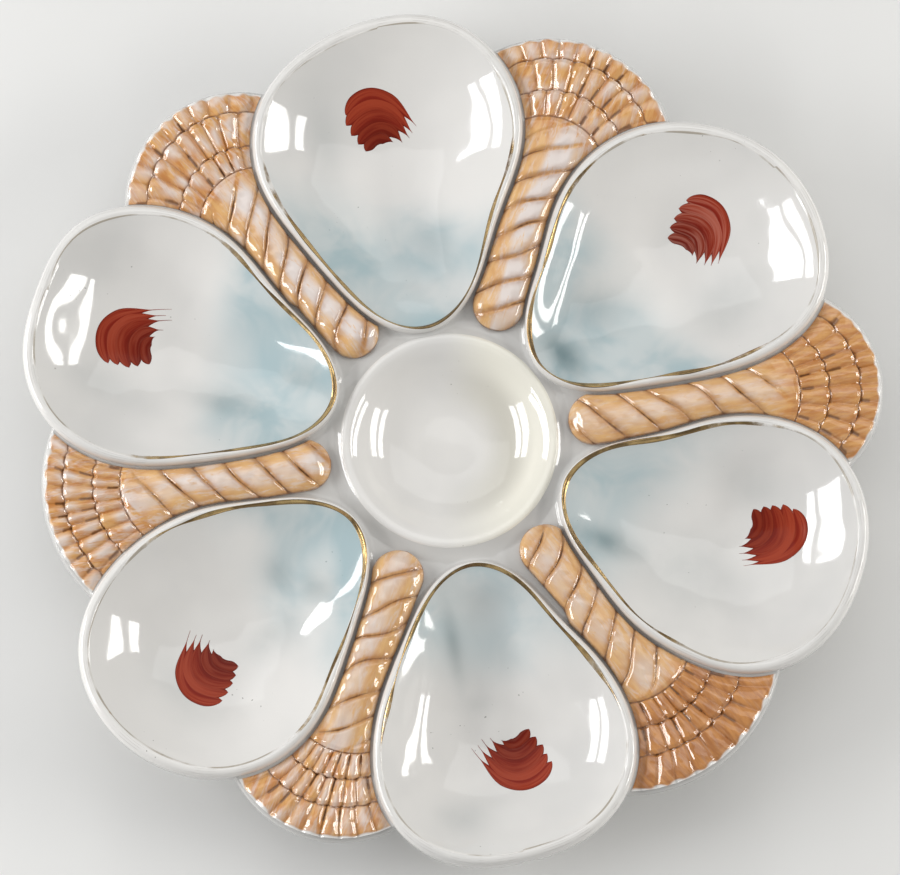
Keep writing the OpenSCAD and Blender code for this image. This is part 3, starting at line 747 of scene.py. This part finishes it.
def build_relief(j, material):
    end = arm_reach(j) - EDGE_W
    # Rows are closer together where the stem's end is blunt
    t = np.linspace(0, 1, RELIEF_ROWS)
    t = 0.75 * t + 0.25 * (1 - np.cos(math.pi * t)) / 2
    arm = Arm(j, RELIEF_START, end, RELIEF_GAP, t, STEM_W)
    f = np.linspace(-1, 1, RELIEF_COLUMNS)
    f = np.sign(f) * (1 - (1 - np.abs(f)) ** 1.25)
    x = arm.grid(f)
    px, py, v = arm.plan(x)
    ff = np.broadcast_to(f, x.shape)
    tt = np.broadcast_to(t[:, None], x.shape)
    along = np.broadcast_to(arm.along[:, None], x.shape) - RELIEF_START
    fan = ramp(tt, 0.56, 0.16)
    height = STEM_H + (FAN_H - STEM_H) * ramp(tt, 0.42, 0.36)
    dome = EDGE_SHARE + (1 - EDGE_SHARE) * np.sqrt(np.maximum(0, 1 - np.abs(ff) ** DOME_POWER))
    ends = 0.3 + 0.7 * np.sqrt(ramp(along / 5.5))

    half = np.broadcast_to(((arm.left + arm.right) / 2)[:, None], x.shape)
    stem_z, cut, swell, near = stem_pattern(j, along, ff, half, tt)
    band_z, pleat_z, step, slot, furrow, pleat = fan_pattern(j, tt, ff, end - RELIEF_START)
    fan_z = fan * (band_z - 0.30 * step) + pleat_z
    flutes = ramp(tt, 0.54, 0.08) * (1 - ramp(tt, 0.70, 0.03))
    fan_z = fan_z + flutes * 0.10 * np.sin(ff * math.pi * 3.5 + j)
    droop = -0.5 * ramp(tt, 0.95, 0.05) * fan
    fine = 0.035 * waves(px, py, 360 + j, 3.1, 8)
    z = height * dome * ends + stem_z * (0.35 + 0.65 * dome) + fan_z * (0.3 + 0.7 * dome)
    z = np.maximum(z + droop + fine * dome, RELIEF_LEAST_H)

    up = arm_plane(v)
    points = sheet_points(stack_xyz(px, py, up + z), stack_xyz(px, py, up - RELIEF_SINK))
    faces = [face[::-1] for face in sheet_faces(*x.shape)]

    side = np.minimum(x + arm.left[:, None], arm.right[:, None] - x)
    # Dark brown in the stem's grooves, at the fan's band steps and slots and along the ornament's edges:
    # partly the lustre's own dark lines, partly painted shade in these hollows and where the ornament meets
    # the ground
    edge_line_and_shade = np.exp(-(np.maximum(side, 0) / 0.45) ** 2) + np.exp(-(along / 0.5) ** 2)
    dark = 0.80 * cut + 0.80 * step * fan + 0.95 * slot + 0.75 * edge_line_and_shade * (1 - 0.5 * fan)
    pool = np.maximum(np.exp(-(near / 1.3) ** 2) * (1 - fan), np.maximum(0.8 * furrow, 0.8 * step * fan))
    middle = 0.12 * np.sin(along / 8 + j) + CREST_SIDES[j]
    crest = np.exp(-((ff - middle) / 0.46) ** 4) * ramp(swell, 0.30, 0.35)
    crest = crest * (1 - ramp(tt, 0.72, 0.05)) * np.clip(0.80 + 0.25 * waves(px, py, 380 + j, 15), 0, 1)
    chance = np.clip(0.45 + 0.55 * waves(px, py, 385 + j, 9), 0, 1)
    pale = STEM_PALE_SHARES[j] + (FAN_PALE_SHARES[j] - STEM_PALE_SHARES[j]) * ramp(tt, 0.66, 0.08)
    crest = np.maximum(crest, 0.85 * pleat ** 1.5 * fan * chance) * np.maximum(pale, 0)
    ragged = 0.003 * waves(px, py, 390 + j, 4)
    attributes = {"dark": np.clip(dark, 0, 1), "pool": pool, "crest": crest,
                  "edge": ramp(tt + ragged, 0.990, 0.008), "run": along, "side": x,
                  "pale": pale, "stem": 1 - ramp(tt, 0.62, 0.10)}
    both = {key: np.tile(value.ravel(), 2) for key, value in attributes.items()}
    both["which"] = np.full(len(points), j)
    make_piece(f"ornament_{j + 1}", points, faces, f"shell_relief_{j + 1}", material,
               both, sharp=75)


# Ground between the wells

GROUND_ROWS = 170
GROUND_COLUMNS = 61
END_ROWS = 5
# The collar is a ring of its own. Each arm goes on from it with a small overlap, and where the
# two meet each one sinks a little under the other
COLLAR_INNER = 0.4
COLLAR_OUTER = 5.6
COLLAR_ROWS = 26
ARM_ROOT = 2.4
WALL_OVERLAP = 0.5
MEET = 3.6
MEET_W = 1.6
MEET_SINK = 0.05
FILLET_W = 1.7
FILLET_H = 0.75


def ground_top(px, py):
    z = arm_plane(arm_out(px, py))
    r = np.hypot(px, py)
    z = z + COLLAR_RISE * np.clip((SAUCE_R + COLLAR_W - r) / COLLAR_W, 0, 1.2) ** 1.7
    for k in WELLS:
        d = np.clip(wall_distance(k, px, py), 0, FILLET_W)
        z = z + FILLET_H * (1 - d / FILLET_W) ** 2
    return z


def meeting(px, py):
    """From 0 on the collar to 1 on an arm."""
    return ramp((np.hypot(px, py) - SAUCE_R - MEET) / MEET_W + 0.5)


def build_collar(shells):
    a = round_angles(LATHE_SECTORS)
    r = np.linspace(SAUCE_R - COLLAR_INNER, SAUCE_R + COLLAR_OUTER, COLLAR_ROWS)[:, None]
    px, py = r * np.cos(a), r * np.sin(a)
    top = stack_xyz(px, py, ground_top(px, py) - MEET_SINK * meeting(px, py))
    low = stack_xyz(px, py, arm_plane(arm_out(px, py)) - GROUND_T + MEET_SINK * meeting(px, py))[::-1]
    loop = np.concatenate([top, low])
    shells.add(loop, grid_faces(len(loop), LATHE_SECTORS, wrap_columns=True, wrap_rows=True)[:, ::-1])


def build_arm(shells, j):
    end = arm_reach(j) - EDGE_W
    arm = Arm(j, SAUCE_R + ARM_ROOT, end, -WALL_OVERLAP, np.linspace(0, 1, GROUND_ROWS))
    x = arm.grid(np.linspace(-1, 1, GROUND_COLUMNS))
    px, py, v = arm.plan(x)
    z = ground_top(px, py) - MEET_SINK * (1 - meeting(px, py))
    # The upper and the lower sheet meet in a rounded outer edge beyond the last row
    middle = (arm_reach(j) - fan_radius(j)) * toward(RELIEF_ANGLES[j])
    away = np.stack([px[-1] - middle[0], py[-1] - middle[1]], axis=-1)
    away = away / np.linalg.norm(away, axis=1)[:, None]
    edge = []
    for turn in np.linspace(0, math.pi, 2 * END_ROWS + 2)[1:-1]:
        push = EDGE_W * math.sin(turn)
        fall = GROUND_T / 2 * (1 - math.cos(turn))
        edge.append(stack_xyz(px[-1] + push * away[:, 0], py[-1] + push * away[:, 1], z[-1] - fall)[None])
    top = np.concatenate([stack_xyz(px, py, z)] + edge[:END_ROWS])
    low_z = arm_plane(v) - GROUND_T + MEET_SINK * (1 - meeting(px, py))
    low = np.concatenate([stack_xyz(px, py, low_z)] + edge[:END_ROWS - 1:-1])
    faces = [face[::-1] for face in sheet_faces(*top.shape[:2])]
    shells.add(sheet_points(top, low), faces)


def build_ground(material):
    shells = Shells()
    build_collar(shells)
    for j in WELLS:
        build_arm(shells, j)
    shells.piece("ground", "ground_web", "white_glaze", material, sharp=60)


# Foot ring

FOOT_SECTORS = 480
FOOT_EDGE = 0.7
FOOT_BEVEL_W = 0.25
FOOT_WALL_RINGS = 11
# Height at which the wall starts, its step out from the tread, its flare and how far it runs into the
# plate
FOOT_WALL_H = 0.9
FOOT_STEP_W = 0.35
FOOT_FLARE_W = 0.9
FOOT_SINK = 0.35


def underside(x, y):
    z = arm_plane(arm_out(x, y)) - GROUND_T
    for k in WELLS:
        r, degrees = well_polar(k, x, y)
        q = r / (well_r(k, degrees) - lip_w_at(degrees))
        z = np.where(r < well_r(k, degrees), np.minimum(z, under_z(k, x, y, q)), z)
    return z


def build_foot(material):
    foot_r = FOOT_D / 2
    a = round_angles(FOOT_SECTORS)
    half, top_half = FOOT_W / 2, FOOT_TOP_W / 2
    edge = FOOT_EDGE
    side = [(-half + edge, 0.0), (-half + 0.25 * edge, 0.12 * edge), (-half, 0.45 * edge)]
    rows, marks = [], []

    def ring(offset, z, tread):
        r = foot_r + offset
        rows.append(stack_xyz(r * np.cos(a), r * np.sin(a), z))
        marks.append(np.full(FOOT_SECTORS, tread))

    def wall(sign):
        high = underside((foot_r + sign * top_half) * np.cos(a), (foot_r + sign * top_half) * np.sin(a))
        for s in np.linspace(0, 1, FOOT_WALL_RINGS + 1)[1:]:
            out = half + FOOT_STEP_W + (top_half - half - FOOT_STEP_W) * s ** 2
            out = out + FOOT_FLARE_W * ramp(s, 0.72, 0.28) ** 2
            yield sign * out, FOOT_WALL_H + s * (high + FOOT_SINK - FOOT_WALL_H)

    for offset, z in reversed(list(wall(-1))):
        ring(offset, z, 0)
    ring(-half - FOOT_BEVEL_W, FOOT_WALL_H, 0)
    for offset, z in reversed(side):
        ring(offset, z, 1)
    for s in np.linspace(-1, 1, 7)[1:-1]:
        ring(s * (half - edge), 0.0, 1)
    for offset, z in side:
        ring(-offset, z, 1)
    ring(half + FOOT_BEVEL_W, FOOT_WALL_H, 0)
    for offset, z in wall(1):
        ring(offset, z, 0)
    points = np.concatenate(rows)
    faces = grid_faces(len(rows), FOOT_SECTORS, wrap_columns=True, wrap_rows=True)[:, ::-1]
    make_piece("foot", points, faces, "foot_ring", material,
               {"tread": np.concatenate(marks)}, sharp=60)


# Materials

class Nodes:
    """Short hand for a material's nodes. A value may be a socket, a number or a colour."""

    def __init__(self, name):
        self.material = bpy.data.materials.new(name)
        self.material.use_nodes = True
        self.tree = self.material.node_tree
        self.tree.nodes.clear()
        self.shader = self.new("BsdfPrincipled")
        self.tree.links.new(self.shader.outputs[0], self.new("OutputMaterial").inputs[0])
        self.place = self.new("TexCoord").outputs["Object"]

    def new(self, kind):
        return self.tree.nodes.new("ShaderNode" + kind)

    def put(self, socket, value):
        if isinstance(value, bpy.types.NodeSocket):
            self.tree.links.new(value, socket)
        elif isinstance(value, tuple):
            socket.default_value = (*value, 1)
        else:
            socket.default_value = value

    def fill(self, node, **values):
        for key, value in values.items():
            self.put(node.inputs[key.replace("_", " ")], value)

    def set(self, **values):
        self.fill(self.shader, **values)

    def math(self, operation, a, b=0.0):
        node = self.new("Math")
        node.operation = operation
        self.put(node.inputs[0], a)
        self.put(node.inputs[1], b)
        return node.outputs[0]

    def times(self, a, b):
        return self.math("MULTIPLY", a, b)

    def mix(self, factor, a, b):
        node = self.new("Mix")
        node.data_type = "RGBA"
        self.put(node.inputs[0], factor)
        self.put(node.inputs[6], a)
        self.put(node.inputs[7], b)
        return node.outputs[2]

    def noise(self, length, detail=2.0, roughness=0.5, distortion=0.0, place=None):
        """Noise with features about length millimetres across."""
        node = self.new("TexNoise")
        self.fill(node, Vector=place or self.place, Scale=1 / (length * MM), Detail=detail,
                  Roughness=roughness, Distortion=distortion)
        return node.outputs["Fac"]

    def span(self, value, low, high, out_low=0.0, out_high=1.0):
        """Eases from out_low to out_high while the value goes from low to high."""
        node = self.new("MapRange")
        node.interpolation_type = "SMOOTHSTEP"
        self.fill(node, Value=value, From_Min=low, From_Max=high, To_Min=out_low, To_Max=out_high)
        return node.outputs["Result"]

    def read(self, name):
        """A value that the mesh holds for every point."""
        node = self.new("Attribute")
        node.attribute_name = name
        return node.outputs["Fac"]

    def join(self, *values):
        """A place made of three values."""
        node = self.new("CombineXYZ")
        for socket, value in zip(node.inputs, values):
            self.put(socket, value)
        return node.outputs[0]

    def bump(self, height, distance, normal=None):
        """Bump whose full height is distance millimetres."""
        node = self.new("Bump")
        self.fill(node, Strength=1.0, Distance=distance * MM, Height=height)
        if normal:
            self.put(node.inputs["Normal"], normal)
        return node.outputs["Normal"]


PORCELAIN = (0.775, 0.762, 0.738)
PORCELAIN_GREY = (0.62, 0.62, 0.61)
GROUND_PAINTED_SHADE = (0.545, 0.54, 0.525)
BLUE_WASH = (0.375, 0.50, 0.535)
PAINTED_SHADE_ON_WASH = (0.12, 0.20, 0.22)
PAINTED_SHADE_GREY = (0.34, 0.38, 0.38)
WARM_PAINTED_SHADE = (0.62, 0.60, 0.53)
WARM_PAINTED_LIGHT = (0.83, 0.81, 0.72)
LINE_GREY = (0.34, 0.31, 0.28)
SPECK = (0.10, 0.09, 0.07)
BISQUE = (0.60, 0.56, 0.49)
BISQUE_DARK = (0.42, 0.37, 0.30)
TAN = (0.70, 0.385, 0.135)
TAN_DEEP = (0.55, 0.225, 0.058)
TAN_LIGHT = (0.80, 0.53, 0.25)
TAN_POOL = (0.37, 0.14, 0.038)
TAN_LINE_AND_SHADE = (0.17, 0.072, 0.028)
WIPED = (0.74, 0.66, 0.62)
GOLD = (0.62, 0.44, 0.20)
GOLD_PAINTED_DARK_REFLECTION = (0.15, 0.095, 0.045)
TRACE = (0.42, 0.38, 0.32)
RED_LIGHT = (0.36, 0.052, 0.022)
RED = (0.23, 0.017, 0.008)
RED_DEEP = (0.10, 0.007, 0.003)
RED_THIN = (0.52, 0.24, 0.19)


def glaze(n):
    """Clear glaze over the body: a sharp reflection with a faint unevenness."""
    n.set(Roughness=0.08, IOR=1.5, Coat_Weight=0.5, Coat_Roughness=0.02)
    n.set(Normal=n.bump(n.noise(9, 2), 0.05, n.bump(n.noise(2.2, 2), 0.006)))


def pooled_white(n):
    """White body with faint grey clouds and a few dark specks."""
    clouds = n.span(n.noise(34, 3, 0.55), 0.40, 0.72)
    colour = n.mix(n.times(clouds, 0.42), PORCELAIN, PORCELAIN_GREY)
    specks = n.times(n.span(n.noise(0.8, 0), 0.835, 0.86), n.span(n.noise(23, 1), 0.58, 0.66))
    return n.mix(n.times(specks, 0.6), colour, SPECK)


def well_material():
    n = Nodes("well_glaze")
    colour = pooled_white(n)
    tint = n.read("tint")
    uneven = n.span(n.noise(18, 3, 0.6, 0.6), 0.35, 0.65, 0.55, 1.0)
    wash = n.times(tint, uneven)
    colour = n.mix(n.times(wash, 0.92), colour, BLUE_WASH)
    # Painted shade and painted dark reflection: soft grey patches, a deep blue-grey where the wash lies
    painted_shade = n.times(n.read("painted_shade"), n.span(n.noise(9, 3), 0.25, 0.6, 0.70, 1.0))
    grey = n.mix(n.span(tint, 0.2, 0.8), PAINTED_SHADE_GREY, PAINTED_SHADE_ON_WASH)
    colour = n.mix(n.times(painted_shade, 0.85), colour, grey)
    lip = n.read("lip")
    lines = n.times(n.span(n.math("SINE", n.times(lip, 34.0)), 0.75, 1.0),
                    n.times(n.span(lip, 0.10, 0.18), n.span(lip, 0.95, 0.70)))
    broken = n.span(n.noise(7, 2, 0.6), 0.46, 0.62)
    colour = n.mix(n.times(n.times(lines, broken), 0.45), colour, LINE_GREY)
    n.set(Base_Color=colour)
    glaze(n)
    return n.material


def ground_material():
    n = Nodes("ground_glaze")
    # Painted shade: the whole ground between the wells is a darker grey than the wells
    n.set(Base_Color=n.mix(0.85, pooled_white(n), GROUND_PAINTED_SHADE))
    glaze(n)
    return n.material


def sauce_material():
    n = Nodes("sauce_glaze")
    # Painted shade and painted light on the right half: warm and darker low on the wall, warm and lighter
    # near the rim
    painted_warm_side = n.mix(n.read("wall"), WARM_PAINTED_SHADE, WARM_PAINTED_LIGHT)
    n.set(Base_Color=n.mix(n.read("painted_warm_side"), pooled_white(n), painted_warm_side))
    glaze(n)
    return n.material


def foot_material():
    n = Nodes("foot_glaze")
    edge = n.span(n.math("ADD", n.read("tread"), n.times(n.noise(1.6, 2), 0.35)), 0.60, 0.72)
    grit = n.mix(n.span(n.noise(0.6, 3), 0.4, 0.7), BISQUE, BISQUE_DARK)
    n.set(Base_Color=n.mix(edge, pooled_white(n), grit), IOR=1.5)
    n.set(Roughness=n.math("ADD", n.times(edge, 0.6), 0.1))
    n.set(Normal=n.bump(n.noise(0.5, 3), 0.05))
    return n.material


def lustre_material():
    n = Nodes("tan_lustre_glaze")
    dark, crest, pale = n.read("dark"), n.read("crest"), n.read("pale")
    # The lustre is brushed on along the stem and the pleats, so its noise is stretched that way
    brushed = n.join(n.times(n.read("side"), MM), n.times(n.read("run"), 0.22 * MM),
                     n.times(n.read("which"), 23 * MM))
    streaks = n.span(n.noise(1.6, 4, 0.62, 0.4, brushed), 0.34, 0.66)
    colour = n.mix(streaks, TAN_DEEP, TAN)
    colour = n.mix(n.times(n.read("stem"), 0.45), colour, TAN_LIGHT)
    colour = n.mix(n.span(pale, 0.3, -0.6), colour, n.mix(streaks, TAN_POOL, TAN_DEEP))
    thin = n.times(n.span(n.noise(1.3, 4, 0.65, 0.5, brushed), 0.46, 0.70),
                   n.span(pale, 0, 1, 0.12, 0.60))
    colour = n.mix(thin, colour, WIPED)
    wiped = n.times(crest, n.span(n.noise(1.5, 4, 0.65, 0.6, brushed), 0.26, 0.46))
    colour = n.mix(n.times(wiped, 0.95), colour, WIPED)
    pool = n.times(n.read("pool"), n.span(n.noise(2.0, 3), 0.25, 0.60, 0.35, 1.0))
    colour = n.mix(n.times(pool, 0.60), colour, TAN_POOL)
    # Dark lines, partly painted shade in the grooves, steps, slots and edges
    ragged = n.span(n.math("ADD", dark, n.times(n.noise(1.2, 3), 0.5)), 0.55, 1.20)
    colour = n.mix(n.times(ragged, 0.85), colour, TAN_LINE_AND_SHADE)
    colour = n.mix(n.read("edge"), colour, PORCELAIN)
    n.set(Base_Color=colour, Roughness=0.10, IOR=1.5, Coat_Weight=1.0, Coat_Roughness=0.02)
    n.set(Normal=n.bump(n.noise(1.9, 3), 0.045, n.bump(n.noise(5.5, 2), 0.12)))
    return n.material


def gilding_material():
    n = Nodes("worn_gilding")
    wear, across = n.read("wear"), n.read("across")
    # Painted dark reflection: the gold is darkened towards the line's edges and in broad patches, where
    # metal mirrors dark surroundings
    painted_dark_edge = n.span(n.math("ABSOLUTE", across), 0.45, 0.95)
    dark_reflection_patch = n.span(n.noise(11, 4, 0.6), 0.38, 0.58)
    painted_dark_reflection = n.math("MAXIMUM", n.times(painted_dark_edge, 0.8), n.times(dark_reflection_patch, 0.85))
    colour = n.mix(painted_dark_reflection, GOLD, GOLD_PAINTED_DARK_REFLECTION)
    level = n.math("ADD", n.times(n.span(wear, 0.12, 0.85), 0.50), n.noise(7, 5, 0.6))
    worn = n.span(level, 0.60, 0.84)
    traced = n.times(n.span(n.noise(13, 3), 0.40, 0.58), n.span(painted_dark_edge, 1, 0))
    trace = n.mix(traced, PORCELAIN, TRACE)
    n.set(Base_Color=n.mix(worn, colour, trace),
          Metallic=n.times(n.math("SUBTRACT", 1.0, worn), 0.9),
          Roughness=n.span(n.noise(1.5, 3), 0.3, 0.7, 0.12, 0.28), IOR=1.5)
    n.set(Normal=n.bump(n.noise(2.5, 2), 0.01))
    return n.material


def enamel_material():
    n = Nodes("red_brush_enamel")
    across, along = n.read("across"), n.read("along")
    tone, soft = n.read("tone"), n.read("soft")
    # Bristle streaks follow the stroke, so their noise is stretched along it
    bristles = n.join(n.times(across, 2.4), n.times(along, 0.8), n.times(tone, 37.0))
    streak = n.noise(1000, 3, 0.6, 0.2, bristles)
    lit = n.math("ADD", streak, n.span(across, -0.7, 0.7, -0.06, 0.08))
    colour = n.mix(n.span(lit, 0.36, 0.66), RED, RED_LIGHT)
    under = n.times(n.span(across, 0.1, -1.0), n.span(tone, 0.0, 0.6, 0.25, 0.6))
    colour = n.mix(under, colour, RED_DEEP)
    colour = n.mix(n.times(n.span(across, 0.72, 0.95), 0.55), colour, RED_DEEP)
    colour = n.mix(n.span(tone, 0.2, 0.9, 0.0, 0.55), colour, RED_DEEP)
    dry = n.times(soft, n.span(streak, 0.40, 0.70))
    colour = n.mix(n.times(dry, 0.7), colour, RED_THIN)
    n.set(Base_Color=colour, Roughness=0.13, IOR=1.4, Specular_IOR_Level=0.2)
    n.set(Normal=n.bump(streak, 0.012))
    return n.material


# Build the plate

well_glaze = well_material()
gold = gilding_material()
enamel = enamel_material()
lustre = lustre_material()
build_ground(ground_material())
build_sauce_well(sauce_material())
build_foot(foot_material())
for k in WELLS:
    build_well(k, well_glaze)
    build_gilding(k, gold)
    build_mark(k, enamel)
    build_relief(k, lustre)


# Floor, light and camera, in metres

FLOOR_HALF = 3.0
FLOOR_COLOUR = (0.78, 0.78, 0.77)
LAMP_DISTANCE = 0.9
WORLD_LEVEL = 0.37
WORLD_COLOUR = (1.0, 0.995, 0.985, 1.0)
WHITE = (1, 1, 1)
WARM = (1.0, 0.985, 0.95)
# Azimuth, elevation, width, height and radiance of a dim box above the far side, which fills in
TOP_BOX = (90.0, 60.0, 80.0, 40.0, 0.8)
# Elevation and height of the two rows of lamps, and azimuth, width, share of that height and colour
# of the lamps on each side
LAMP_ROWS = ((19.5, 7.5), (31.0, 8.5))
LAMP_SIDES = (("left_box", 180.0, 42.0, 1.0, WHITE), ("right_box", 2.0, 32.0, 0.85, WARM))
LAMP_RADIANCE = 10.5


def build_floor():
    mesh = bpy.data.meshes.new("floor")
    corners = [(x * FLOOR_HALF, y * FLOOR_HALF, 0) for x, y in ((-1, -1), (1, -1), (1, 1), (-1, 1))]
    mesh.from_pydata(corners, [], [(0, 1, 2, 3)])
    n = Nodes("floor_paper")
    n.set(Base_Color=FLOOR_COLOUR, Roughness=0.9, Specular_IOR_Level=0.1)
    mesh.materials.append(n.material)
    floor = add_object("floor", mesh)


def softbox(name, azimuth, elevation, wide, high, radiance, colour=WHITE):
    """A rectangular lamp that faces the plate, wide and high as seen from it, in degrees. Azimuth is
    measured from +X towards +Y."""
    width = 2 * LAMP_DISTANCE * math.tan(math.radians(wide / 2))
    height = 2 * LAMP_DISTANCE * math.tan(math.radians(high / 2))
    lamp = bpy.data.lights.new(name, "AREA")
    lamp.shape = "RECTANGLE"
    lamp.size, lamp.size_y = width, height
    lamp.energy = radiance * math.pi * width * height
    lamp.color = colour
    a, e = math.radians(azimuth), math.radians(elevation)
    place = Vector((math.cos(a) * math.cos(e), math.sin(a) * math.cos(e), math.sin(e))) * LAMP_DISTANCE
    light = add_object(name, lamp)
    light.location = place
    light.rotation_euler = (-place).to_track_quat("-Z", "Y").to_euler()


def build_lights():
    world = bpy.data.worlds.new("studio")
    world.use_nodes = True
    background = world.node_tree.nodes["Background"]
    background.inputs["Color"].default_value = WORLD_COLOUR
    background.inputs["Strength"].default_value = WORLD_LEVEL
    bpy.context.scene.world = world
    softbox("top_box", *TOP_BOX)
    for row, (elevation, high) in enumerate(LAMP_ROWS):
        for name, azimuth, wide, share, colour in LAMP_SIDES:
            softbox(f"{name}_{row + 1}", azimuth, elevation, wide, high * share, LAMP_RADIANCE, colour)


# The photograph looks down from this elevation. Its middle is CAMERA_AIM, and it is VIEW_W wide
CAMERA_ELEVATION = 80.0
CAMERA_DISTANCE = 1.7
VIEW_W = 239.9 * MM
CAMERA_AIM = Vector((0.13, 1.0, GROUND_H)) * MM


def build_camera():
    data = bpy.data.cameras.new("camera")
    data.sensor_fit = "HORIZONTAL"
    data.lens = data.sensor_width * CAMERA_DISTANCE / VIEW_W
    data.clip_end = 20
    e = math.radians(CAMERA_ELEVATION)
    camera = add_object("camera", data)
    camera.location = CAMERA_AIM + CAMERA_DISTANCE * Vector((0, -math.cos(e), math.sin(e)))
    camera.rotation_euler = (math.pi / 2 - e, 0, 0)
    bpy.context.scene.camera = camera


build_floor()
build_lights()
build_camera()
bpy.context.scene.view_settings.view_transform = "Standard"
